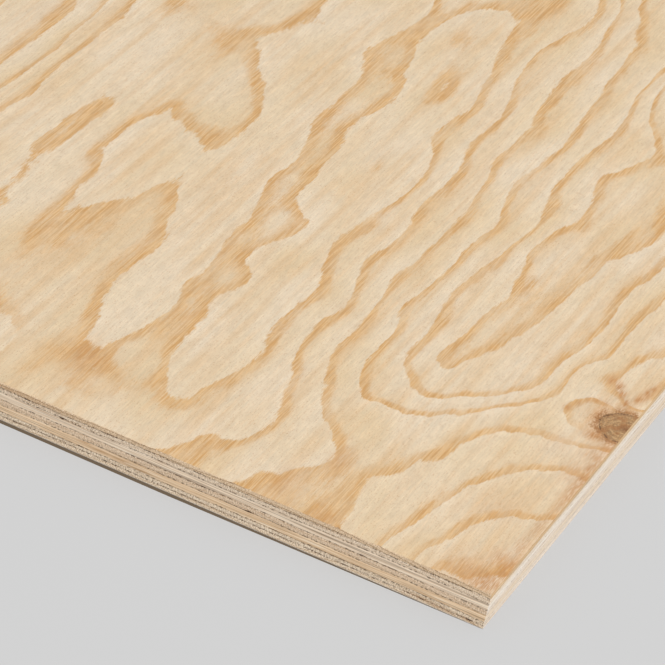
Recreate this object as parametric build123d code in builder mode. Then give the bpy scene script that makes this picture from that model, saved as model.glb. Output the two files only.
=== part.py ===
from build123d import *
import os

# Plywood sheet pressed from seven softwood veneers and trimmed square, lying flat on its back.
# X runs along the length and the face grain, Y across the width, and Z up from the back face.
# The origin is the middle of the back face.

# Trimmed outline, mm
sheet_length = 2440.0
sheet_width = 1220.0

# Veneer thicknesses as pressed, mm, from the face down. They add up to an 18 mm board.
# Both outer pairs and the core run along the sheet, and the two crossbands run across it.
face_veneer_thickness = 2.4
face_inner_veneer_thickness = 2.1
upper_crossband_thickness = 3.3
core_veneer_thickness = 2.7
lower_crossband_thickness = 3.5
back_inner_veneer_thickness = 1.9
back_veneer_thickness = 2.1

# Easing of the sawn edges, mm
corner_radius = 0.6
face_arris_radius = 0.4
back_arris_radius = 0.5

# The layup from the back up: name, thickness, and the easing of its lower and upper outer edges
layup = [
    ("back_veneer", back_veneer_thickness, back_arris_radius, 0.0),
    ("back_inner_veneer", back_inner_veneer_thickness, 0.0, 0.0),
    ("lower_crossband", lower_crossband_thickness, 0.0, 0.0),
    ("core_veneer", core_veneer_thickness, 0.0, 0.0),
    ("upper_crossband", upper_crossband_thickness, 0.0, 0.0),
    ("face_inner_veneer", face_inner_veneer_thickness, 0.0, 0.0),
    ("face_veneer", face_veneer_thickness, 0.0, face_arris_radius),
]

os.makedirs("parts", exist_ok=True)


def make_veneer(name, seat, thickness, lower_easing, upper_easing):
    """Make one veneer that lies on the height seat, and write it."""
    with BuildPart() as veneer:
        with BuildSketch(Plane.XY.offset(seat)) as outline:
            Rectangle(sheet_length, sheet_width)
            fillet(outline.vertices(), corner_radius)
        extrude(amount=thickness)
        if upper_easing > 0:
            fillet(veneer.faces().sort_by(Axis.Z)[-1].edges(), upper_easing)
        if lower_easing > 0:
            fillet(veneer.faces().sort_by(Axis.Z)[0].edges(), lower_easing)
    veneer.part.label = name
    export_step(veneer.part, f"parts/{name}.step")
    return seat + thickness


# Each veneer seats on the one below it
seat = 0.0
for name, thickness, lower_easing, upper_easing in layup:
    seat = make_veneer(name, seat, thickness, lower_easing, upper_easing)
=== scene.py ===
import math
from functools import partial

import bpy
import numpy as np
from mathutils import Matrix, Vector


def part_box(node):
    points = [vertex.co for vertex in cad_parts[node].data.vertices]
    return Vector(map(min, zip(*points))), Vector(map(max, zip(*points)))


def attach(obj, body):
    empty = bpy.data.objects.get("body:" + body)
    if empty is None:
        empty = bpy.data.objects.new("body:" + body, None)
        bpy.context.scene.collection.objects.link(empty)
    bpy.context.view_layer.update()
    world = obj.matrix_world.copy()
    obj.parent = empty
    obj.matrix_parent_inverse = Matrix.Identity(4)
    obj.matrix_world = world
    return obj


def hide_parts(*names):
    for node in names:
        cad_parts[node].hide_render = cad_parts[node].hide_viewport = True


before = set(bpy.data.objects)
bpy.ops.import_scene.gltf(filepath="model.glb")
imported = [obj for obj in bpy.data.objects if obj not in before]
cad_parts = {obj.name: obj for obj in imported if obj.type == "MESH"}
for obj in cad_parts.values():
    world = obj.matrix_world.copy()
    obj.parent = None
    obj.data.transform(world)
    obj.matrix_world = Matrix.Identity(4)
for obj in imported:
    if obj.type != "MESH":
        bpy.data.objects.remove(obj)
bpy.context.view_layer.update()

# Softwood plywood sheet. Lengths are in mm from the sheet's near corner, x along the sheet and the
# face grain, y across it and z up from the back face, and are turned to metres when a mesh is made.


def new_object(name, data):
    """An object in the scene that shows a mesh, a lamp or a camera."""
    made = bpy.data.objects.new(name, data)
    bpy.context.scene.collection.objects.link(made)
    return made


# Layup, from the back up, as the frame has it

def heights(node):
    """Heights of the underside and the top of a node's solid."""
    low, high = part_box(node)
    return low.z * 1000, high.z * 1000


LAYUP = ["back_veneer", "back_inner_veneer", "lower_crossband", "core_veneer",
         "upper_crossband", "face_inner_veneer", "face_veneer"]
CROSSBANDS = ("lower_crossband", "upper_crossband")
low_corner, high_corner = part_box("face_veneer")
LENGTH = (high_corner.x - low_corner.x) * 1000
WIDTH = (high_corner.y - low_corner.y) * 1000
NEAR_CORNER = (low_corner.x, low_corner.y)
TOP = heights("face_veneer")[1]

# Sawn outline
CORNER_RADIUS = 0.6
FACE_ARRIS = 0.4
BACK_ARRIS = 0.5
RIM = 3.0             # the mesh's plain grid starts this far inside the outline
SPLIT = 3             # columns of the sawn edge to one cell of the grid
CORNER_STEPS = (2.2, 1.4)     # and more columns this far from each corner

# Distances from a glue line to the rows of points next to it, and one beyond any glue's reach
NEAR_GLUE = 0.22
OFF_GLUE = 0.6
FAR = 9.0

# Depth of the fuzz that the saw leaves across the fibres, and along them
END_FUZZ = 0.07
SIDE_FUZZ = 0.025

# Least widths of the cells of a veneer's face. The sheet's face keeps every cell of the grid.
FACE_CELL = 0.1
BACK_CELL = 9.0
HIDDEN_CELL = 80.0

# What the materials read at each point, and the places of the materials on a veneer's mesh
READ_BY_WOOD = ("ring", "seam", "stain", "fade")
UPPER_FACE, SAWN_END, SAWN_EDGE, LOWER_FACE = range(4)


# Growth rings

# Growth-ring lines of the face round the near corner. Each has the number of its ring, the
# width of the brown latewood on its right, and points in mm along and across the sheet.
# Walking along the points, the pale wood of the next ring is on the left.
RING_LINES = [
    (4, 8.0, [(24, -6), (17, 1), (13, 4), (7, 9.5), (3, 14), (1, 22), (-7, 24)]),
    (3, 4.0, [(76, -5), (70, 3), (65, 9), (61.5, 16), (57, 20), (50, 25.5), (41, 28.5), (30, 31),
              (22, 33.5), (13, 36.5), (0, 36.3), (-8, 36.5)]),
    (2, 4.2, [(113, -6), (112, 4), (110.5, 13), (107, 19), (100, 25), (92, 31.5), (84, 35.5),
              (72, 39.5), (58, 43), (44, 46), (30, 48.5), (15, 51.2), (0, 52.3), (-8, 52.6)]),
    (1, 5.0, [(141, 2), (136, 12), (132.5, 20), (131, 30), (127, 41), (121, 47.5), (112, 52.5),
              (100, 56), (88, 58.5)]),
    (1, 0.0, [(78, 62), (69, 66), (57, 68), (54, 72), (50, 76), (40, 76), (30, 78), (18, 75.5),
              (8, 73.5), (0, 70), (-8, 67)]),
    (0, 3.2, [(330, 24), (300, 27), (275, 30), (256, 31.2), (238, 30.6), (222, 31), (212, 32),
              (205, 35.5), (198, 38.5), (185, 38.2), (172, 37.5), (164, 38.8), (157, 42.3),
              (149, 48), (139, 56), (130, 61), (121, 69), (112, 76), (105, 88), (104, 100),
              (110, 111), (140, 119), (200, 124), (270, 121), (360, 126), (480, 130)]),
    (-1, 4.8, [(400, 24), (350, 33), (308, 39.5), (285, 43), (265, 43.6), (248, 42), (230, 42),
               (212, 43.8), (195, 45.7), (180, 47), (168, 49), (158, 53.3), (150, 59), (142, 65.5),
               (136, 71), (128, 80), (126, 90), (134, 99), (180, 106), (240, 110), (320, 106),
               (420, 108), (560, 112)]),
    (-2, 5.0, [(540, 52), (470, 55), (380, 58), (300, 63), (240, 67), (190, 74), (158, 84),
               (165, 94), (210, 92), (260, 93), (330, 89), (420, 84)]),
    (0, 4.0, [(149, 8), (149.5, 18), (152, 24), (156, 28)]),
    (0, 1.8, [(160, 30.6), (165, 31.8), (170, 28.8), (175, 26), (179, 22.5), (181, 18), (179, 12)]),
    (1, 7.0, [(262, -4), (252, 3), (240, 9.5), (228, 14), (216, 17), (207, 19.3), (200, 18.6),
              (194, 15.5), (188, 11.5), (183, 9.5)]),
    (1, 0.0, [(-8, 125), (0, 124.5), (8, 122.5), (15, 118.5), (19, 112), (28, 107.2), (36, 102),
              (43, 99), (50, 98), (60, 102)]),
    (1, 4.5, [(68, 108), (80, 117), (105, 127), (150, 134), (210, 138), (290, 136), (380, 144),
              (500, 149)]),
    (2, 0.0, [(-8, 166), (0, 163), (9, 158), (14, 154), (22, 151), (29, 149), (28, 143.5)]),
    (2, 4.0, [(31, 138.5), (38, 135), (48, 132.4), (56, 131), (72, 134), (105, 143), (150, 149),
              (230, 153), (320, 154), (420, 164), (560, 169)]),
    (3, 5.0, [(560, 232), (430, 222), (330, 214), (250, 206), (185, 200), (125, 195), (85, 192),
              (70, 189), (59, 185)]),
    (3, 11.0, [(53, 182), (46.5, 177), (52, 171)]),
    (3, 6.0, [(59, 167), (75, 164), (110, 161), (170, 163), (260, 170), (350, 178), (480, 190)]),
    (3, 7.0, [(520, 290), (430, 276), (330, 262), (280, 252), (190, 245), (125, 238), (90, 233),
              (68, 227)]),
    (3, 26.0, [(59, 223.5), (56, 221.3), (59, 219)]),
    (3, 5.0, [(67, 215), (85, 210), (115, 208), (160, 210), (210, 215), (290, 223), (380, 232),
              (500, 241)]),
]
# Ring numbers at single places, where brown or pale wood fills a wide area
RING_SPOTS = [
    (3.86, 5, 17), (3.90, 14, 10), (3.88, 25, 3), (3.74, 22, 22), (3.45, 45, 12), (3.60, 5, 32),
    (2.30, 25, 43), (2.45, 90, 20), (1.30, 30, 63), (1.35, 80, 50), (1.40, 116, 30), (1.6, 122, 12),
    (0.80, 64, 73), (0.84, 76, 69), (0.45, 95, 66), (0.30, 112, 62), (0.30, 140, 45),
    (0.45, 143, 25), (0.92, 4, 77), (0.88, 20, 83), (0.86, 40, 83), (0.80, 12, 92), (0.76, 35, 90),
    (0.80, 25, 100), (0.86, 6, 113), (0.82, 10, 103), (0.82, 0, 103), (0.60, 72, 90),
    (1.30, 20, 127), (1.30, 45, 114), (1.78, 4, 141), (1.78, 22, 140), (1.92, 8, 150),
    (2.30, 42, 148), (2.40, 20, 172), (2.50, 8, 200), (2.55, 8, 232), (2.88, 42, 217),
    (2.84, 34, 217), (2.86, 46, 209), (2.86, 48, 228), (2.50, 62, 195), (2.72, 120, 201.5),
    (2.75, 200, 207.5), (2.75, 300, 218), (2.72, 420, 227), (3.35, 85, 178), (3.40, 120, 179),
    (3.35, 100, 222), (3.40, 140, 226), (3.50, 200, 183), (3.60, 300, 193), (3.60, 280, 238),
    (3.70, 400, 202), (3.60, 380, 250), (3.30, 60, 177),
    (-0.45, 160, 20), (-0.40, 172, 20), (-0.50, 165, 8), (-0.50, 165, -5), (-0.50, 155, 2),
    (-0.50, 175, 2), (0.50, 196, 30), (1.35, 214, 9), (0.40, 215, 25), (-0.45, 200, 41.5),
    (-1.4, 220, 54), (-1.45, 180, 58),
]
GUIDE_REACH = 42.0      # how far a guide point bends the rings round it
GRAIN_STRETCH = 1.6     # and how much further along the grain
RING_DIP = 0.55         # rings crossed in each mm of depth into a veneer

# Knots of the face: middle and half sizes along and across the sheet
FACE_KNOTS = [
    (164.6, 1.2, 13.4, 12.9), (742, 356, 13, 9), (1294, 118, 9, 7), (1010, 842, 16, 12),
    (1696, 604, 12, 9), (2130, 256, 15, 10), (2262, 938, 11, 8), (418, 1004, 12, 10),
]
BACK_KNOTS = [
    (322, 236, 15, 12), (884, 702, 19, 14), (1418, 310, 12, 9), (1760, 1012, 17, 13),
    (2206, 470, 14, 10), (560, 1090, 11, 9),
]
BEYOND_KNOTS = 9.0      # in knot radii, further than any knot reaches

# Orange resin stains on the face: middle, half sizes and strength
STAINS = [
    (22, 2, 18, 4, 0.7), (62, 3, 16, 4, 0.38), (112, 2, 44, 3.5, 0.75), (150, 11, 6, 6, 0.8),
    (168, 16, 15, 4, 0.6), (181, 7, 5, 6, 0.6), (199, 4.4, 9, 1.8, 1.0), (193, 6.2, 6, 1.6, 0.9),
    (205, 2.6, 7, 1.6, 0.8), (197, 17, 4.5, 2.2, 1.0), (191.5, 13.4, 4.2, 2.0, 1.0),
    (185.5, 9.4, 4.2, 2.0, 1.0), (200, 21.5, 4.5, 2.6, 0.8), (170, 26.6, 4, 1.3, 0.6),
    (175, 24.6, 3.4, 1.4, 0.6), (178, 21.4, 2, 2.6, 0.6), (179.4, 17, 1.6, 3.4, 0.6),
    (48, 94, 14, 5, 0.3), (18, 106, 16, 8, 0.25), (3, 80, 9, 8, 0.35), (47, 218, 14, 10, 0.4),
    (144, 1, 8, 7, 0.7), (136, 5, 13, 7, 0.45), (150, 3, 7, 5, 0.5), (114, 7, 12, 6, 0.4),
    (8, 10, 16, 16, 0.5), (10, 2, 14, 5, 0.5), (28, 8, 10, 6, 0.45), (163, 30, 3.5, 1.8, 0.8),
    (7, 6, 13, 11, 0.70), (44, 4, 12, 4, 0.42), (68, 24, 18, 10, 0.16), (134, 22, 9, 8, 0.14),
    (166, 22, 10, 5, 0.15),
]
STAIN_DEPTH = 0.2       # how far down its arris they reach

# Places where the brown rings of the face fade out: middle, half sizes and strength
FADES = [
    (150, 13, 8, 12, 0.9), (158, 22, 7, 5, 0.6), (135, 24, 10, 18, 0.45), (182, 14, 5, 6, 0.6),
    (118, 12, 8, 10, 0.3), (4, 100, 10, 9, 0.3), (60, 90, 26, 10, 0.25), (20, 243, 34, 9, 0.95),
    (52, 250, 30, 11, 0.9), (30, 205, 10, 9, 0.7), (22, 226, 14, 7, 0.9), (38, 31.5, 12, 5, 0.2),
]
# Brown marks on the sawn end: place from the near corner, height, half sizes and strength
END_MARKS = [
    (194, 6.9, 4.5, 0.45, 0.7), (186, 6.2, 7, 0.6, 0.9), (176, 5.4, 8, 0.65, 0.9),
    (166, 4.7, 6, 0.45, 0.6), (30, 2.0, 9, 0.5, 0.9), (20, 1.3, 7, 0.5, 0.8), (7, 1.2, 5, 0.8, 0.5),
    (235, 16.6, 40, 1.2, 0.4), (114, 7.3, 3, 0.6, 0.6), (158, 13.4, 3, 0.5, 0.6),
    (60, 12.3, 30, 0.25, 0.4),
]
OFF_THE_END = -999.0    # a place that no mark is near


def soft_waves(x, y, length, width, seed, count=14):
    """Smooth random waves of about unit size, in lumps of length by width mm along x and y."""
    rng = np.random.default_rng(seed)
    total = np.zeros_like(x)
    for _ in range(count):
        turn = rng.uniform(0, 2 * math.pi)
        pitch = rng.uniform(0.6, 1.4)
        kx = 2 * math.pi * math.cos(turn) / (length * pitch)
        ky = 2 * math.pi * math.sin(turn) / (width * pitch)
        total += np.cos(kx * x + ky * y + rng.uniform(0, 2 * math.pi))
    return total * math.sqrt(2 / count)


def broad_figure(x, y, seed):
    """Ring number of a rotary-cut veneer: long flames and bands that follow the grain along x."""
    swing = 34 * np.sin(x * 2 * math.pi / 1650 + seed)
    bands = 1.0 - 3.3 * np.cos(2 * math.pi * (y - 88 + swing) / 330)
    return (bands
            + 1.20 * soft_waves(x, y, 900, 240, seed + 1)
            + 0.50 * soft_waves(x, y, 420, 90, seed + 2)
            + 0.09 * soft_waves(x, y, 130, 32, seed + 3))


def round_knots(x, y, knots):
    """Ring numbers that a knot adds as the grain swells round it."""
    total = np.zeros_like(x)
    for kx, ky, half_x, half_y in knots:
        away = ((x - kx) / (2.6 * half_x)) ** 2 + ((y - ky) / (2.0 * half_y)) ** 2
        total += 2.2 * np.exp(-away)
    return total


def guide_points():
    """Guide points with their ring numbers: on each line, and a little to either side of it."""
    found = list(RING_SPOTS)
    for ring, brown, line in RING_LINES:
        line = np.array(line, float)
        run = np.gradient(line, axis=0)
        left = np.stack([-run[:, 1], run[:, 0]], 1) / np.linalg.norm(run, axis=1)[:, None]
        found += [(ring, *p) for p in line]
        found += [(ring + 0.14, *p) for p in line + 2.6 * left]
        if brown:
            found += [(ring - 0.25, *p) for p in line - brown * left]
        else:
            found += [(ring - 0.08, *p) for p in line - 2.0 * left]
    return np.array(found, float).T


def nearness(x1, y1, x2, y2):
    """How much each guide point bears on each place: 1 on it, and smoothly less further off."""
    away = np.hypot((x1[:, None] - x2) / GRAIN_STRETCH, y1[:, None] - y2) / GUIDE_REACH
    away *= math.sqrt(5)
    return (1 + away + away * away / 3) * np.exp(-away)


def face_figure(x, y):
    """Ring number of the face. Round the near corner it passes through the guide points."""
    ring, gx, gy = guide_points()
    seed = 3
    # The small sum on the diagonal lets guide points that lie close together differ a little
    bends = nearness(gx, gy, gx, gy) + 4e-4 * np.eye(len(gx))
    weights = np.linalg.solve(bends, ring - broad_figure(gx, gy, seed))
    figure = broad_figure(x, y, seed) + round_knots(x, y, FACE_KNOTS[1:])
    # Nothing beyond here is near a guide point, and the rest is worked out in lots, to save memory
    near = np.flatnonzero((x < 900) & (y < 600))
    for some in np.array_split(near, len(near) // 4000 + 1):
        figure[some] += nearness(x[some], y[some], gx, gy) @ weights
    return figure + 0.035 * soft_waves(x, y, 40, 10, seed + 4)


def blots(first, second, marks):
    """Strength of a list of soft oval marks at each place."""
    total = np.zeros_like(first)
    for mid_first, mid_second, half_first, half_second, strength in marks:
        away = ((first - mid_first) / half_first) ** 2 + ((second - mid_second) / half_second) ** 2
        total = np.maximum(total, strength * np.exp(-away * 1.2))
    return total


def veneer_figure(name, x, y):
    """Ring number of a veneer on its upper face."""
    if name == "face_veneer":
        return face_figure(x, y)
    seed = 20 + 10 * LAYUP.index(name)
    if name in CROSSBANDS:
        return broad_figure(y, x, seed)
    return broad_figure(x, y, seed)


# Outline and sawn edge

def spaced(start, *stops):
    """Grid lines from start on: each stop has its place and the spacing on the way to it."""
    lines = [start]
    for place, spacing in stops:
        count = max(1, round((place - lines[-1]) / spacing))
        lines += list(np.linspace(lines[-1], place, count + 1)[1:])
    return np.array(lines)


GRID_X = spaced(RIM, (100, 2.5), (230, 1.6), (320, 2.5), (600, 5), (LENGTH - RIM, 23))
GRID_Y = spaced(RIM, (60, 1.6), (90, 2.25), (260, 3.4), (420, 5), (WIDTH - RIM, 10))


def split(lines):
    """The same lines with SPLIT steps from each one to the next."""
    steps = np.arange((len(lines) - 1) * SPLIT + 1) / SPLIT
    return np.interp(steps, np.arange(len(lines)), lines)


def outline_columns():
    """Columns round the outline, anticlockwise from above, and the first one of each side."""
    along, across = split(GRID_X), split(GRID_Y)
    # The way that each side faces, the corner at its end, and its columns
    sides = [
        ((0.0, -1.0), (LENGTH, 0.0), [(x, 0.0) for x in along]),
        ((1.0, 0.0), (LENGTH, WIDTH), [(LENGTH, y) for y in across]),
        ((0.0, 1.0), (0.0, WIDTH), [(x, WIDTH) for x in along[::-1]]),
        ((-1.0, 0.0), (0.0, 0.0), [(0.0, y) for y in across[::-1]]),
    ]
    points, outward, firsts = [], [], []
    for number, (facing, corner, columns) in enumerate(sides):
        out, corner = np.array(facing), np.array(corner)
        ahead = np.array(sides[(number + 1) % 4][0])
        firsts.append(len(points))
        points += columns + [corner - ahead * back for back in CORNER_STEPS]
        outward += [out] * (len(columns) + len(CORNER_STEPS))
        middle = corner - CORNER_RADIUS * (out + ahead)
        for angle in np.radians([0, 22.5, 45, 67.5, 90]):
            direction = out * math.cos(angle) + ahead * math.sin(angle)
            points.append(middle + CORNER_RADIUS * direction)
            outward.append(direction)
        points += [corner - out * on for on in CORNER_STEPS[::-1]]
        outward += [ahead] * len(CORNER_STEPS)
    return np.array(points), np.array(outward), firsts


COLUMNS, OUTWARD, SIDE_STARTS = outline_columns()
ON_END = np.abs(OUTWARD[:, 0]) > 0.71      # columns of the two ends, not of the long edges
COL_X, COL_Y = COLUMNS.T
COLUMN_COUNT = len(COLUMNS)
FROM_CORNER = np.hypot(COL_X, COL_Y)

# Open voids on the end near the corner, by the veneer over them: place, length and height
END_VOIDS = {
    "face_veneer": [(96, 2.0, 0.24), (225, 2.0, 0.32)],
    "face_inner_veneer": [(100, 1.7, 0.24), (159, 1.8, 0.4), (207, 2.4, 0.6)],
    "upper_crossband": [(53, 2.0, 0.28), (60, 2.4, 0.32), (67, 1.8, 0.28), (137, 2.0, 0.36),
                        (221, 2.7, 0.32)],
    "core_veneer": [(40, 2.0, 0.24), (114, 2.9, 0.56)],
    "lower_crossband": [(84, 2.0, 0.28), (196, 3.4, 0.28)],
    "back_inner_veneer": [(7, 2.7, 0.4), (183, 2.4, 0.4)],
}


def far_voids():
    """Voids on the rest of the sawn edges, one every 150 to 500 mm of each glue line: the veneer
    over each, its side, and its place, length and height."""
    rng = np.random.default_rng(77)
    found = []
    for name in LAYUP[1:]:
        for side, first, length in (("end", 250, WIDTH), ("edge", 260, LENGTH),
                                    ("far end", 20, WIDTH), ("far edge", 20, LENGTH)):
            place = first + rng.uniform(20, 200)
            while place < length - 20:
                found.append((name, side, place, rng.uniform(8, 26), rng.uniform(0.4, 1.0)))
                place += rng.uniform(150, 500)
    return found


ALL_VOIDS = far_voids() + [(name, "end", *void) for name in END_VOIDS for void in END_VOIDS[name]]


def openings(name):
    """Height of the open voids under a veneer at each column."""
    height = np.zeros(COLUMN_COUNT)
    on_side = {
        "end": (ON_END & (COL_X < 1), COL_Y), "far end": (ON_END & (COL_X > 1), COL_Y),
        "edge": (~ON_END & (COL_Y < 1), COL_X), "far edge": (~ON_END & (COL_Y > 1), COL_X),
    }
    for above, side, place, length, gap in ALL_VOIDS:
        if above != name:
            continue
        here, along = on_side[side]
        away = np.abs(along - place) / (length / 2)
        height = np.maximum(height, np.where(here, gap * np.sqrt(np.clip(1 - away ** 2, 0, 1)), 0))
    return height


def glue_line(name):
    """Height of the glue line under a veneer at each column.

    It wanders as the veneers were pressed, and all but the top one sag at the near corner."""
    seed = 300 + LAYUP.index(name)
    wander = (0.16 * soft_waves(COL_X, COL_Y, 90, 90, seed)
              + 0.09 * soft_waves(COL_X, COL_Y, 16, 16, seed + 20)
              + 0.05 * soft_waves(COL_X, COL_Y, 5, 5, seed + 40))
    sag = 0.0 if name == "face_veneer" else 0.65 * np.exp(-FROM_CORNER / 30)
    return heights(name)[0] + 0.6 * wander - sag


def thinned(lines, gap):
    """Numbers of the grid lines that are kept where cells are to be at least gap mm wide."""
    kept = [0]
    for number, place in enumerate(lines[:-1]):
        if place - lines[kept[-1]] >= gap and lines[-1] - place >= gap:
            kept.append(number)
    return kept + [len(lines) - 1]


def edge_rows(name):
    """Rows of points round a veneer's sawn edge, from the bottom up: the height of each, its depth
    in from the outline, and its distance from the nearest glue line."""
    level = LAYUP.index(name)
    above = LAYUP[level + 1] if level + 1 < len(LAYUP) else None
    low = glue_line(name) if level else np.zeros(COLUMN_COUNT)
    high = glue_line(above) if above else np.full(COLUMN_COUNT, TOP)
    rng = np.random.default_rng(500 + level)
    end_grain = ON_END != (name in CROSSBANDS)
    uneven = 0.03 + 0.03 * soft_waves(COL_X, COL_Y, 70, 70, 600 + level) ** 2
    fuzz = np.where(end_grain, END_FUZZ, SIDE_FUZZ)

    def sawn(share=1.0):
        return uneven + fuzz * share * rng.random(COLUMN_COUNT)

    def by_glue(gap):
        return 0.05 + sawn(0.7) + gap * 0.2

    def at_glue(gap):
        return 0.16 + 0.06 * rng.random(COLUMN_COUNT) + gap * 0.5

    rows = []
    if level:
        gap = openings(name) / 2
        rows += [(low + gap, at_glue(gap), 0.0),
                 (low + NEAR_GLUE + gap, by_glue(gap), NEAR_GLUE),
                 (low + OFF_GLUE + gap * 0.6, sawn(), OFF_GLUE)]
    else:
        # The saw tears the lower arris, and cuts the ends back a hair there
        torn = 0.4 * BACK_ARRIS + 0.12 * rng.random(COLUMN_COUNT)
        cut_back = np.where(ON_END, 0.05, 0.0)
        lip = 0.20 + 0.10 * rng.random(COLUMN_COUNT)
        rows += [(0.0, torn + cut_back, FAR),
                 (0.45 * lip, 0.45 * torn + cut_back, FAR),
                 (lip, sawn(), FAR)]
    middle = (low + high) / 2
    off_glue = np.minimum(middle - low if level else FAR, high - middle if above else FAR)
    rows.append((middle, sawn(), off_glue))
    if above:
        gap = openings(above) / 2
        rows += [(high - OFF_GLUE - gap * 0.6, sawn(), OFF_GLUE),
                 (high - NEAR_GLUE - gap, by_glue(gap), NEAR_GLUE),
                 (high - gap, at_glue(gap), 0.0)]
    else:
        # The face arris has splinters missing, and the high power makes few of them long
        torn = FACE_ARRIS * (0.85 + 0.3 * rng.random(COLUMN_COUNT))
        torn = torn + np.where(end_grain, 0.8, 0.25) * rng.random(COLUMN_COUNT) ** 14
        rows += [(TOP - 0.75 * FACE_ARRIS, sawn(), FAR),
                 (TOP - 0.12, torn * 0.4, FAR),
                 (TOP - 0.01, torn, FAR)]
    return rows


def edge_points(name, rows):
    """Points of the sawn edge, row by row: x, y, z and the values of READ_BY_WOOD."""
    top = heights(name)[1]
    ring = veneer_figure(name, COL_X, COL_Y)
    along_end = np.where(ON_END & (COL_X < 1), COL_Y, OFF_THE_END)
    made = []
    for z, depth, seam in rows:
        x = COL_X - OUTWARD[:, 0] * depth
        y = COL_Y - OUTWARD[:, 1] * depth
        stain = blots(along_end, z, END_MARKS)
        fade = 0.0
        if name == "face_veneer":
            stain = np.maximum(stain, blots(x, y, STAINS) * (z > top - STAIN_DEPTH))
            fade = blots(x, y, FADES)
        row = np.broadcast_arrays(x, y, z, ring + RING_DIP * (z - top), seam, stain, fade)
        made.append(np.stack(row))
    return np.concatenate(made, axis=1)


def face_points(name, lines_x, lines_y, upward):
    """Points of a veneer's upper or lower face: x, y, z and the values of READ_BY_WOOD."""
    x, y = [places.ravel() for places in np.meshgrid(lines_x, lines_y, indexing="ij")]
    ring = veneer_figure(name, x, y)
    z = heights(name)[1 if upward else 0]
    stain = fade = 0.0
    if name == "face_veneer" and upward:
        # Sanding takes the pale wood down a little more than the hard brown latewood
        hard = np.clip((ring - np.floor(ring) - 0.6) / 0.35, 0, 1)
        sunk = 0.03 + 0.012 * (1 - hard) + 0.02 * soft_waves(x, y, 60, 30, 900)
        z = TOP - np.clip(sunk, 0.005, 0.2)
        stain = blots(x, y, STAINS)
        fade = blots(x, y, FADES)
    return np.stack(np.broadcast_arrays(x, y, z, ring, FAR, stain, fade))


def edge_polygons(row_count):
    """Four-sided polygons of the sawn edge, and the material of each."""
    here = np.arange(COLUMN_COUNT)
    onward = np.roll(here, -1)
    band = np.stack([here, onward, onward + COLUMN_COUNT, here + COLUMN_COUNT], 1)
    polygons = [(band + row * COLUMN_COUNT).tolist() for row in range(row_count - 1)]
    kinds = np.where(ON_END & ON_END[onward], SAWN_END, SAWN_EDGE).tolist()
    return sum(polygons, []), kinds * (row_count - 1)


def face_polygons(start, kept_x, kept_y, edge):
    """Cells of a face's grid, whose points start at number start, and the strips that join it to
    the row of the sawn edge that starts at number edge."""
    number = start + np.arange(len(kept_x) * len(kept_y)).reshape(len(kept_x), len(kept_y))
    cells = np.stack([number[:-1, :-1], number[1:, :-1], number[1:, 1:], number[:-1, 1:]], -1)
    walks = [(kept_x, number[:, 0]), (kept_y, number[-1, :]),
             (kept_x, number[::-1, -1]), (kept_y, number[0, ::-1])]
    strips = []
    for side, (kept, grid) in enumerate(walks):
        grid = grid.tolist()
        first = SIDE_STARTS[side]
        steps = kept if side < 2 else [kept[-1] - step for step in kept[::-1]]
        for k in range(len(steps) - 1):
            run = range(edge + first + steps[k] * SPLIT, edge + first + steps[k + 1] * SPLIT + 1)
            strips.append([*run, grid[k + 1], grid[k]])
        # The last polygon of a side fans round the corner to the first column of the next one
        onward = SIDE_STARTS[side + 1] if side < 3 else COLUMN_COUNT
        run = range(edge + first + steps[-1] * SPLIT, edge + onward)
        strips.append([*run, edge + onward % COLUMN_COUNT, grid[-1]])
    return cells.reshape(-1, 4).tolist() + strips


def veneer_mesh(name, upper_cell, lower_cell, materials):
    """A closed mesh of one veneer, with its sawn edge, as a Blender object.

    upper_cell and lower_cell are the least widths of the cells of its faces in mm."""
    rows = edge_rows(name)
    made = [edge_points(name, rows)]
    polygons, kinds = edge_polygons(len(rows))
    start = len(rows) * COLUMN_COUNT
    for upward, cell, edge in ((True, upper_cell, start - COLUMN_COUNT), (False, lower_cell, 0)):
        kept_x, kept_y = thinned(GRID_X, cell), thinned(GRID_Y, cell)
        made.append(face_points(name, GRID_X[kept_x], GRID_Y[kept_y], upward))
        face = face_polygons(start, kept_x, kept_y, edge)
        polygons += face if upward else [polygon[::-1] for polygon in face]
        kinds += [UPPER_FACE if upward else LOWER_FACE] * len(face)
        start += len(kept_x) * len(kept_y)

    x, y, z, *readings = np.concatenate(made, axis=1)
    points = np.stack([x, y, z], 1) * 0.001
    points[:, :2] += NEAR_CORNER
    mesh = bpy.data.meshes.new(name + "_wood")
    mesh.from_pydata(points.tolist(), [], polygons)
    mesh.polygons.foreach_set("material_index", kinds)
    mesh.polygons.foreach_set("use_smooth", [True] * len(polygons))
    for title, values in zip(READ_BY_WOOD, readings):
        attribute = mesh.attributes.new(title, "FLOAT", "POINT")
        attribute.data.foreach_set("value", values.astype(np.float32))
    mesh.set_sharp_from_angle(angle=math.radians(28))
    for material in materials:
        mesh.materials.append(material)
    mesh.validate()
    return new_object(name + "_wood", mesh)


# Materials

def linear(hex_colour):
    """Turn an sRGB hex colour to Blender's linear one."""
    parts = [int(hex_colour[i:i + 2], 16) / 255 for i in (1, 3, 5)]
    light = [c / 12.92 if c <= 0.04045 else ((c + 0.055) / 1.055) ** 2.4 for c in parts]
    return (*light, 1.0)


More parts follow.
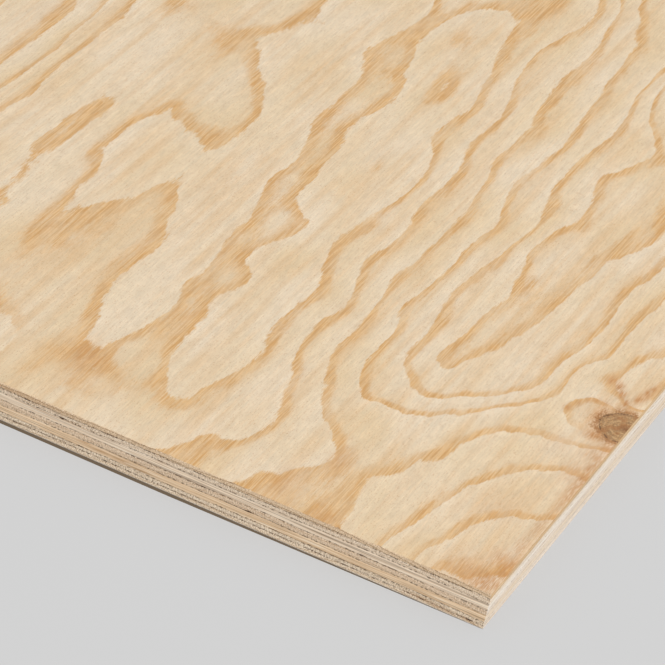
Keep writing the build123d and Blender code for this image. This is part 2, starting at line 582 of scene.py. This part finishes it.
def add(tree, kind, inputs=(), stops=(), **settings):
    """Add a node, set it, and give its inputs values or links.

    kind is a shader node's short name, or any node's full one. inputs go by name, or are a list
    in the order of the sockets in use. A node given as a value stands for its output in use, and
    a colour is hex. stops are a ramp's places and tones."""
    made = tree.nodes.new(kind if "Node" in kind else "ShaderNode" + kind)
    for name, value in settings.items():
        setattr(made, name, value)
    for _ in stops[2:]:
        made.color_ramp.elements.new(1.0)
    for number, (place, tone) in enumerate(stops):
        made.color_ramp.elements[number].position = place
        made.color_ramp.elements[number].color = (tone, tone, tone, 1.0)
    in_use = [socket for socket in made.inputs if socket.enabled]
    if isinstance(inputs, dict):
        in_use = [next(s for s in in_use if s.name == name) for name in inputs]
        inputs = inputs.values()
    for socket, value in zip(in_use, inputs):
        if isinstance(value, str):
            value = linear(value)
        if isinstance(value, bpy.types.Node):
            value = next(output for output in value.outputs if output.enabled)
        if isinstance(value, bpy.types.NodeSocket):
            tree.links.new(value, socket)
        else:
            socket.default_value = value
    return made


def new_material(name):
    """A material, and its empty tree."""
    material = bpy.data.materials.new(name)
    material.use_nodes = True
    material.node_tree.nodes.clear()
    return material, material.node_tree


def finish_wood(tree, inputs):
    """End a material's tree in a shader for wood with the given inputs."""
    shader = add(tree, "BsdfPrincipled", {"IOR": 1.45, **inputs})
    add(tree, "OutputMaterial", {"Surface": shader})


def wood_patterns(tree, sizes):
    """Random patterns about 0.5, by name: each has its lumps' sizes in mm along x, y and z, and
    how many times finer ones are laid over them."""
    place = add(tree, "TexCoord").outputs["Object"]
    patterns = {}
    for name, (*size, detail) in sizes.items():
        stretched = add(tree, "VectorMath", [place, [1000 / s for s in size]], operation="MULTIPLY")
        patterns[name] = add(tree, "TexNoise", {"Vector": stretched, "Scale": 1.0,
                                                "Detail": detail})
    return patterns


def ring_phase(tree, *shifts):
    """How far through its growth ring the wood is, 0 to 1. Each shift is a pattern, and the share
    of a ring by which it moves the ring's edges."""
    moved = add(tree, "Attribute", attribute_name="ring").outputs["Fac"]
    for pattern, width in shifts:
        shift = add(tree, "MapRange", [pattern, 0.0, 1.0, -width, width])
        moved = add(tree, "Math", [moved, shift], operation="ADD")
    return add(tree, "Math", [moved], operation="FRACT")


# How brown the wood is through a ring: pale through most of it, then brown, and ending sharply
FACE_RING_STOPS = [(0.0, 0.40), (0.025, 0.0), (0.50, 0.03), (0.68, 0.13), (0.755, 0.55),
                   (0.81, 0.86), (0.97, 1.0), (1.0, 0.40)]
EDGE_RING_STOPS = [(0.0, 0.0), (0.50, 0.03), (0.69, 0.15), (0.78, 0.55), (0.86, 0.88), (0.985, 1.0)]


def with_knots(node, grain, colour, knots):
    """Lay knots into a colour: orange halo, ringed grey-brown heart wood and dark bark line."""
    place = node("TexCoord").outputs["Object"]
    nearest = BEYOND_KNOTS
    for kx, ky, half_x, half_y in knots:
        middle = (NEAR_CORNER[0] + kx / 1000, NEAR_CORNER[1] + ky / 1000, 0.0)
        offset = node("VectorMath", [place, middle], operation="SUBTRACT")
        scaled = node("VectorMath", [offset, (1000 / half_x, 1000 / half_y, 0.0)],
                      operation="MULTIPLY")
        reach = node("VectorMath", [scaled], operation="LENGTH")
        nearest = node("Math", [nearest, reach], operation="MINIMUM")
    uneven = node("MapRange", [grain["knot outline"], 0.0, 1.0, -0.13, 0.13])
    reach = node("Math", [nearest, uneven], operation="ADD")
    specks = grain["knot specks"]

    # Halo, soaked with resin in patches, and drawn in specks that thin out away from the knot
    near = node("MapRange", [reach, 1.46, 1.02, 0.0, 0.44])
    patchy = node("MapRange", [grain["knot patches"], 0.36, 0.56, 0.45, 1.1])
    near = node("Math", [near, patchy], operation="MULTIPLY")
    halo = node("Math", [near, specks], operation="ADD")
    halo = node("MapRange", [halo, 0.56, 0.88, 0.0, 0.95])
    soaked = node("Mix", [halo, "#CB9257", "#A06C38"], data_type="RGBA")
    colour = node("Mix", [halo, colour, soaked], data_type="RGBA")

    # Heart wood in fine circles, browner in patches and at its middle
    circles = node("Math", [reach, 30.0], operation="MULTIPLY")
    circles = node("Math", [circles], operation="SINE")
    circles = node("MapRange", [circles, -1.0, 1.0])
    heart = node("Mix", [circles, "#C7A06F", "#B38A59"], data_type="RGBA")
    for pattern, low, high, most, tone in ((specks, 0.44, 0.60, 0.8, "#8A6846"),
                                           (grain["knot patches"], 0.46, 0.62, 0.7, "#A26A36"),
                                           (nearest, 0.30, 0.05, 0.8, "#7E4E24")):
        share = node("MapRange", [pattern, low, high, 0.0, most])
        heart = node("Mix", [share, heart, tone], data_type="RGBA")
    inside = node("MapRange", [reach, 1.03, 0.95])
    colour = node("Mix", [inside, colour, heart], data_type="RGBA")

    # The bark line is a hair in places and up to 1 mm wide in others
    off_rim = node("Math", [reach, 0.96], operation="SUBTRACT")
    off_rim = node("Math", [off_rim], operation="ABSOLUTE")
    thickness = node("MapRange", [grain["knot bark"], 0.42, 0.68, 0.0, 0.075])
    bark = node("Math", [off_rim, thickness], operation="LESS_THAN")
    ragged = node("MapRange", [specks, 0.32, 0.56, 0.20, 0.80])
    bark = node("Math", [bark, ragged], operation="MULTIPLY")
    return node("Mix", [bark, colour, "#5C3408"], data_type="RGBA")


def sanded_face(name, pale_tones, brown_tones, knots):
    """Rotary-cut pine, sanded: cream early wood, brown flames sharp on one side, and fine fibres
    that run along the sheet and catch the light a little."""
    material, tree = new_material(name)
    node = partial(add, tree)
    # Fibres are 0.03 mm wide and don't show, so bundles of them are drawn 0.6 to 0.7 mm wide
    grain = wood_patterns(tree, {
        "fray": (4.5, 0.6, 0.6, 3), "wander": (11, 3.5, 3.5, 3), "fibres": (22, 0.7, 0.7, 2),
        "tufts": (7, 0.65, 0.65, 1), "pores": (3.2, 0.6, 0.6, 0), "bands": (90, 5, 5, 3),
        "clouds": (70, 26, 26, 1), "mottle": (8, 4, 4, 2), "blotches": (34, 9, 9, 3),
        "flecks": (5, 0.45, 0.45, 1), "knot outline": (9, 7, 7, 2),
        "knot specks": (0.8, 0.55, 0.55, 3), "knot patches": (6, 4.5, 4.5, 3),
        "knot bark": (6, 5, 5, 3),
    })
    phase = ring_phase(tree, (grain["fray"], 0.085), (grain["wander"], 0.09))
    brown = node("ValToRGB", [phase], FACE_RING_STOPS)

    # Pale wood, warmer in clouds and long bands, and whitest where a ring starts
    share = node("MapRange", [grain["clouds"], 0.35, 0.65])
    colour = node("Mix", [share, pale_tones[0], pale_tones[1]], data_type="RGBA")
    share = node("MapRange", [grain["bands"], 0.44, 0.68, 0.0, 0.8])
    colour = node("Mix", [share, colour, pale_tones[2]], data_type="RGBA")
    fade = node("Attribute", attribute_name="fade").outputs["Fac"]
    kept = node("Math", [1.0, fade], operation="SUBTRACT")
    share = node("MapRange", [phase, 0.0, 0.50, 0.30, 0.0])
    share = node("Math", [share, kept], operation="MULTIPLY")
    colour = node("Mix", [share, colour, pale_tones[3]], data_type="RGBA")

    # Brown rings: weaker in streaks and blotches, and gone where they fade
    share = node("MapRange", [grain["fibres"], 0.38, 0.60])
    tan = node("Mix", [share, brown_tones[0], brown_tones[1]], data_type="RGBA")
    share = kept
    for pattern, low, high, least, most in ((grain["fibres"], 0.32, 0.66, 0.80, 1.07),
                                            (grain["tufts"], 0.32, 0.60, 0.86, 1.05),
                                            (grain["blotches"], 0.34, 0.58, 0.55, 1.05)):
        strength = node("MapRange", [pattern, low, high, least, most])
        share = node("Math", [share, strength], operation="MULTIPLY")
    share = node("Math", [share, brown], operation="MULTIPLY", use_clamp=True)
    colour = node("Mix", [share, colour, tan], data_type="RGBA")

    # Resin stains, drawn in fibres, and small brown flecks
    stain = node("Attribute", attribute_name="stain").outputs["Fac"]
    soaked = node("MapRange", [grain["flecks"], 0.36, 0.58, 0.45, 1.25])
    soaked = node("Math", [stain, soaked], operation="MULTIPLY", use_clamp=True)
    colour = node("Mix", [soaked, colour, "#C0854A"], data_type="RGBA")
    share = node("MapRange", [grain["flecks"], 0.68, 0.78, 0.0, 0.26])
    colour = node("Mix", [share, colour, "#A3764A"], data_type="RGBA")
    colour = with_knots(node, grain, colour, knots)

    # Fine light and shade of the fibres
    for pattern, least, most in (("fibres", 0.952, 1.035), ("tufts", 0.958, 1.034),
                                 ("pores", 0.978, 1.018), ("mottle", 0.955, 1.04)):
        tone = node("MapRange", [grain[pattern], 0.30, 0.70, least, most])
        colour = node("Mix", [1.0, colour, tone], data_type="RGBA", blend_type="MULTIPLY")
    rough = node("MapRange", [brown, 0.0, 1.0, 0.62, 0.50])
    bump = node("Bump", {"Strength": 0.10, "Distance": 0.00006, "Height": grain["tufts"]})
    finish_wood(tree, {"Base Color": colour, "Roughness": rough, "Normal": bump})
    return material


def sawn_wood(name, pale, brown, fibre, rough_cut, streaks, glue_shows, ring_line):
    """Edge of a veneer left by a circular saw, with its fibres along x or y.

    Cut across the fibres it is matt, flecked and pricked with short dark checks, rough_cut giving
    how much. Along them it is smoother and streaked, streaks giving how much. The glue lines are
    dark, thin and broken, glue_shows giving how strong, and ring_line how dark each ring ends."""
    material, tree = new_material(name)
    node = partial(add, tree)
    along = (20.0, 0.4, 0.4, 3) if fibre == "x" else (0.4, 20.0, 0.4, 3)
    # Pores and fibre ends are under 0.05 mm, so tufts of them are drawn 0.5 mm across
    grain = wood_patterns(tree, {
        "fray": (4, 4, 0.6, 4), "clouds": (26, 26, 4, 2), "layers": (60, 60, 0.5, 2),
        "flecks": (0.5, 0.5, 0.5, 4) if rough_cut else along, "checks": (0.5, 0.5, 1.3, 2),
        "glue edge": (1.1, 1.1, 1.1, 2), "glue dashes": (1.5, 1.5, 1.5, 2),
    })
    seam = node("Attribute", attribute_name="seam").outputs["Fac"]
    stain = node("Attribute", attribute_name="stain").outputs["Fac"]
    phase = ring_phase(tree, (grain["fray"], 0.125))
    browned = node("ValToRGB", [phase], EDGE_RING_STOPS)
    if rough_cut:
        # Lathe checks: short cracks square to the veneer, most of them next to the glue
        share = node("MapRange", [grain["clouds"], 0.35, 0.65, 0.35, 0.85])
        near_glue = node("MapRange", [seam, 0.9, 0.2, 0.25 * rough_cut, 0.75 * rough_cut])
        checked = node("MapRange", [grain["checks"], 0.52, 0.66])
        checked = node("Math", [checked, near_glue], operation="MULTIPLY")
        fleck_shade, shine = 0.50 * rough_cut, 0.60 * rough_cut
    else:
        share = node("MapRange", [grain["clouds"], 0.35, 0.65, 0.30, 0.75])
        checked = node("MapRange", [grain["layers"], 0.52, 0.66, 0.0, streaks])
        fleck_shade, shine = 0.7 * streaks, 1.3 * streaks
    share = node("Math", [share, browned], operation="MULTIPLY")
    colour = node("Mix", [share, pale, brown], data_type="RGBA")
    ring_end = node("MapRange", [browned, 0.90, 0.99, 0.0, ring_line])
    colour = node("Mix", [ring_end, colour, "#7A5A3E"], data_type="RGBA")
    colour = node("Mix", [stain, colour, "#B4824C"], data_type="RGBA")
    # Painted shade darkens the flecks where their pattern, which also raises the bump, is low, and
    # a painted highlight lightens them where it is high
    shaded_flecks = node("MapRange", [grain["flecks"], 0.56, 0.36, 0.0, fleck_shade])
    colour = node("Mix", [shaded_flecks, colour, "#8F7357"], data_type="RGBA")
    lit = node("MapRange", [grain["flecks"], 0.54, 0.72, 0.0, shine])
    colour = node("Mix", [lit, colour, "#FBF0DC"], data_type="RGBA")
    colour = node("Mix", [checked, colour, "#6B523C"], data_type="RGBA")

    # Glue line, of uneven width and broken into dashes
    wide = node("MapRange", [grain["glue edge"], 0.0, 1.0, -0.30, 0.30])
    glue = node("Math", [seam, wide], operation="ADD")
    glue = node("MapRange", [glue, 0.30, 0.06])
    dashes = node("MapRange", [grain["glue dashes"], 0.46, 0.60, 0.15 * glue_shows, glue_shows])
    glue = node("Math", [glue, dashes], operation="MULTIPLY")
    colour = node("Mix", [glue, colour, "#4F3724"], data_type="RGBA")
    bump = node("Bump", {"Strength": 0.7 if rough_cut else 0.5,
                         "Distance": 0.00012 if rough_cut else 0.00005, "Height": grain["flecks"]})
    finish_wood(tree, {"Base Color": colour, "Roughness": 0.8 if rough_cut else 0.65,
                       "Normal": bump})
    return material


def glue_film():
    """Phenolic glue between veneers, seen only in open voids: dark red-brown and dull."""
    material, tree = new_material("phenolic_glue_film")
    grain = wood_patterns(tree, {"spread": (6, 6, 6, 3)})
    share = add(tree, "MapRange", [grain["spread"], 0.35, 0.65])
    colour = add(tree, "Mix", [share, "#3E2C1F", "#6A4B33"], data_type="RGBA")
    finish_wood(tree, {"Base Color": colour, "Roughness": 0.6})
    return material


def torn_pine_fibre():
    """Slivers torn up by the saw: dry, matt and a little paler than the sawn end."""
    material, tree = new_material("torn_pine_fibre")
    grain = wood_patterns(tree, {"slivers": (1.5, 1.5, 1.5, 1)})
    share = add(tree, "MapRange", [grain["slivers"], 0.35, 0.65])
    colour = add(tree, "Mix", [share, "#B99873", "#DCC3A0"], data_type="RGBA")
    finish_wood(tree, {"Base Color": colour, "Roughness": 0.85})
    return material


# Torn fibres along the sawn ends, by Geometry Nodes

def torn_fibre_tree():
    """Node tree that sets slivers of wood along a line of edges, each of its own size and lean."""
    tree = bpy.data.node_groups.new("torn_fibres", "GeometryNodeTree")
    for name, kind in (("Line", "Geometry"), ("Spacing", "Float"), ("Length", "Float"),
                       ("Thickness", "Float"), ("Least Lean", "Vector"), ("Most Lean", "Vector"),
                       ("Seed", "Int"), ("Wood", "Material")):
        tree.interface.new_socket(name, in_out="INPUT", socket_type="NodeSocket" + kind)
    tree.interface.new_socket("Fibres", in_out="OUTPUT", socket_type="NodeSocketGeometry")
    node = partial(add, tree)
    given = node("NodeGroupInput").outputs
    line = node("GeometryNodeMeshToCurve", {"Mesh": given["Line"]})
    points = node("GeometryNodeCurveToPoints", {"Curve": line, "Length": given["Spacing"]},
                  mode="LENGTH")
    sliver = node("GeometryNodeMeshCone", {
        "Vertices": 3, "Radius Bottom": given["Thickness"], "Depth": given["Length"]})
    lean = node("FunctionNodeRandomValue", {
        "Min": given["Least Lean"], "Max": given["Most Lean"], "Seed": given["Seed"]},
        data_type="FLOAT_VECTOR")
    size = node("FunctionNodeRandomValue", {"Min": 0.25, "Max": 1.0, "Seed": given["Seed"]},
                data_type="FLOAT")
    set_out = node("GeometryNodeInstanceOnPoints", {
        "Points": points, "Instance": sliver, "Rotation": lean, "Scale": size})
    real = node("GeometryNodeRealizeInstances", {"Geometry": set_out})
    dressed = node("GeometryNodeSetMaterial", {"Geometry": real, "Material": given["Wood"]})
    node("NodeGroupOutput", {"Fibres": dressed})
    return tree


def torn_fibres(name, tree, lines, inputs):
    """Slivers along straight lines, given by their two ends in mm, as a plain mesh object. inputs
    are the tree's, by name."""
    points = np.array(lines, float).reshape(-1, 3) * 0.001 + (*NEAR_CORNER, 0.0)
    edges = [(2 * i, 2 * i + 1) for i in range(len(lines))]
    guide = bpy.data.meshes.new(name + "_line")
    guide.from_pydata(points.tolist(), edges, [])
    carrier = new_object(name + "_line", guide)
    modifier = carrier.modifiers.new("torn_fibres", "NODES")
    modifier.node_group = tree
    for socket in tree.interface.items_tree:
        if socket.in_out == "INPUT" and socket.name in inputs:
            modifier[socket.identifier] = inputs[socket.name]
    seen = carrier.evaluated_get(bpy.context.evaluated_depsgraph_get())
    mesh = bpy.data.meshes.new_from_object(seen)
    carrier.modifiers.remove(modifier)
    bpy.data.objects.remove(carrier)
    mesh.name = name
    return new_object(name, mesh)


# Veneers, each in a mesh of its own in place of the solid

# Pale and brown tones of each veneer's wood, on the two ends and on the two long edges
EDGE_TONES = {
    "face_veneer": ("#ECCFAB", "#B6895A", "#CDAD81", "#B98F60"),
    "face_inner_veneer": ("#F3DEC4", "#D8B58F", "#E3D4C0", "#D1B595"),
    "upper_crossband": ("#FAE4C9", "#E4BF97", "#E6DDD1", "#D6BD9C"),
    "core_veneer": ("#EDD3B5", "#D3AD84", "#E0D2C2", "#CFB493"),
    "lower_crossband": ("#F3D4AE", "#D8AD7D", "#E0D0BB", "#CEB18C"),
    "back_inner_veneer": ("#F7E4CA", "#D6B790", "#DFD1C0", "#CDB392"),
    "back_veneer": ("#FDE8CC", "#D4B28A", "#E6D9C9", "#D5B998"),
}

face_material = sanded_face("sanded_rotary_pine_face", ("#E7D3B6", "#E3CBA6", "#DFBF95", "#EEDFC8"),
                            ("#E5BB82", "#CC9B5D"), FACE_KNOTS)
back_material = sanded_face("sanded_rotary_pine_back", ("#E2CCAB", "#DFC49D", "#D9B98F", "#E8D6B9"),
                            ("#CFA26D", "#BD8A57"), BACK_KNOTS)
film_material = glue_film()

for name in LAYUP:
    end_pale, end_brown, edge_pale, edge_brown = EDGE_TONES[name]
    crossband = name in CROSSBANDS
    fibre = "y" if crossband else "x"
    end_roughness = 1.22 if name.startswith("back") else 1.0
    end_material = sawn_wood(
        name + "_sawn_end", end_pale, end_brown, fibre,
        rough_cut=0.0 if crossband else end_roughness, streaks=0.53, glue_shows=0.95,
        ring_line=0.95 if name == "face_veneer" else 0.2)
    edge_material = sawn_wood(
        name + "_sawn_edge", edge_pale, edge_brown, fibre,
        rough_cut=0.35 if crossband else 0.0, streaks=0.22, glue_shows=0.45, ring_line=0.1)
    piece = veneer_mesh(
        name,
        FACE_CELL if name == "face_veneer" else HIDDEN_CELL,
        BACK_CELL if name == "back_veneer" else HIDDEN_CELL,
        [face_material if name == "face_veneer" else film_material, end_material, edge_material,
         back_material if name == "back_veneer" else film_material],
    )
    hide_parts(name)
    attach(piece, "root")


# Slivers along the arrises of both ends: how far in from the end and how high they stand, their
# spacing, length and thickness, all in mm, and the least and most lean in quarter turns. They lie
# along the face arris, and hang from the lip over the torn back arris.
SLIVERS = {
    "face_veneer": (0.17, TOP - 0.18, 2.3, 1.8, 0.09, (-1.08, 0.0, -0.03), (-0.98, 0.0, 0.03)),
    "back_veneer": (0.27, 0.42, 1.9, 0.36, 0.10, (1.55, 0.0, -0.25), (2.45, 0.0, 0.25)),
}

fibre_tree = torn_fibre_tree()
fibre_wood = torn_pine_fibre()
quarter_turn = math.pi / 2
for name, (inset, height, spacing, length, thickness, least, most) in SLIVERS.items():
    ends = [((x, RIM, height), (x, WIDTH - RIM, height)) for x in (inset, LENGTH - inset)]
    fibres = torn_fibres(name + "_torn_fibres", fibre_tree, ends, {
        "Spacing": spacing / 1000, "Length": length / 1000, "Thickness": thickness / 1000,
        "Least Lean": [quarter_turn * share for share in least],
        "Most Lean": [quarter_turn * share for share in most],
        "Seed": 11, "Wood": fibre_wood})
    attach(fibres, "root")


# Floor, lights and camera, in metres

PALE_GREY = "#D2D2D2"
# The floor is a hair inside the sheet, so that it and the back face don't fight for the same pixels
FLOOR_HEIGHT = 0.00002
FLOOR_REACH = 60.0
PAINTED_CONTACT_SHADOW = 0.0024      # width of the painted contact shadow along the near end
SHADOW_TAPER = 0.15          # how far from the corner it is that wide
HAIR = 0.0001                # and its width at the corner, next to nothing


def floor_paint(name, seen_tone, glowing):
    """Matt pale grey paint. To the camera a share of it, given by glowing, glows in seen_tone."""
    material, tree = new_material(name)
    matt = add(tree, "BsdfDiffuse", {"Color": PALE_GREY})
    glow = add(tree, "Emission", {"Color": seen_tone, "Strength": 1.0})
    seen = add(tree, "LightPath").outputs["Is Camera Ray"]
    share = add(tree, "Math", [seen, glowing], operation="MULTIPLY")
    mixed = add(tree, "MixShader", [share, matt, glow])
    add(tree, "OutputMaterial", {"Surface": mixed})
    return material


def stage_floor():
    """A plain pale floor, far larger than the sheet, with a little glow that only the camera sees,
    which softens its shadows. It doesn't glow under the sheet. Along the sheet's near end a narrow
    strip, which widens away from the corner, carries a painted contact shadow: to the camera it
    glows flat dark brown, as dark as the gap under the sheet, and to the light it is pale grey."""
    half_long, half_wide = LENGTH / 2000, WIDTH / 2000
    lines_y = (-FLOOR_REACH, -half_wide, -half_wide + SHADOW_TAPER, half_wide, FLOOR_REACH)
    painted_shadow_widths = (HAIR, HAIR, PAINTED_CONTACT_SHADOW, PAINTED_CONTACT_SHADOW, HAIR)
    points = [(x, y, FLOOR_HEIGHT) for y, wide in zip(lines_y, painted_shadow_widths)
              for x in (-FLOOR_REACH, -half_long - wide, -half_long, half_long, FLOOR_REACH)]
    # The points stand in 5 rows of 5, with 4 rows of 4 squares between them
    squares = [(5 * j + i, 5 * j + i + 1, 5 * j + i + 6, 5 * j + i + 5)
               for j in range(4) for i in range(4)]
    mesh = bpy.data.meshes.new("floor")
    mesh.from_pydata(points, [], squares)
    mesh.materials.append(floor_paint("pale_grey_floor", PALE_GREY, 0.68))
    mesh.materials.append(floor_paint("pale_grey_floor_under_sheet", PALE_GREY, 0.0))
    # Painted contact shadow: a flat dark brown glow that only the camera sees
    mesh.materials.append(floor_paint("floor_painted_contact_shadow", "#706150", 1.0))
    # In the two middle rows, the painted contact shadow strip, then the floor under the sheet
    for j in (1, 2):
        mesh.polygons[4 * j + 1].material_index = 2
        mesh.polygons[4 * j + 2].material_index = 1
    new_object("floor", mesh)


def soft_lamp(name, place, target, size, power):
    """A square soft box that faces its target."""
    lamp = bpy.data.lights.new(name, "AREA")
    lamp.shape = "SQUARE"
    lamp.size = size
    lamp.energy = power
    holder = new_object(name, lamp)
    holder.location = place
    aim = Vector(target) - Vector(place)
    holder.rotation_euler = aim.to_track_quat("-Z", "Y").to_euler()


def studio_sky(strength):
    """Even white light from all round, with a pale grey backdrop behind the floor."""
    world = bpy.data.worlds.new("studio")
    world.use_nodes = True
    tree = world.node_tree
    tree.nodes.clear()
    light = add(tree, "Background", {"Color": "#FFFFFF", "Strength": strength})
    backdrop = add(tree, "Background", {"Color": PALE_GREY, "Strength": 1.0})
    seen = add(tree, "LightPath").outputs["Is Camera Ray"]
    mixed = add(tree, "MixShader", [seen, light, backdrop])
    add(tree, "OutputWorld", {"Surface": mixed})
    bpy.context.scene.world = world


# The picture is square and sees the near corner from above, far off with a long lens, tilted
CAMERA_PLACE = (-2.76356, -0.99238, 1.07112)
CAMERA_AIM = (0.82046, 0.25447, -0.51195)
CAMERA_ROLL = math.radians(-13.721)
CAMERA_LENS = 243.6


def place_camera():
    """The camera, turned about its line of sight by CAMERA_ROLL from level."""
    camera = bpy.data.cameras.new("camera")
    camera.lens = CAMERA_LENS
    camera.sensor_width = 36.0
    camera.clip_end = 200.0
    holder = new_object("camera", camera)
    aim = Vector(CAMERA_AIM).normalized()
    level = aim.cross(Vector((0, 0, 1))).normalized()
    upright = level.cross(aim)
    up = upright * math.cos(CAMERA_ROLL) + level * math.sin(CAMERA_ROLL)
    right = aim.cross(up)
    turned = Matrix((right, up, -aim)).transposed().to_4x4()
    holder.matrix_world = Matrix.Translation(CAMERA_PLACE) @ turned
    bpy.context.scene.camera = holder


stage_floor()
studio_sky(strength=0.82)
soft_lamp("key_soft_box", place=(-2.0, -4.0, 2.0), target=(-0.6, 0.0, 0.0), size=2.6, power=80.0)
place_camera()
bpy.context.scene.view_settings.view_transform = "Standard"
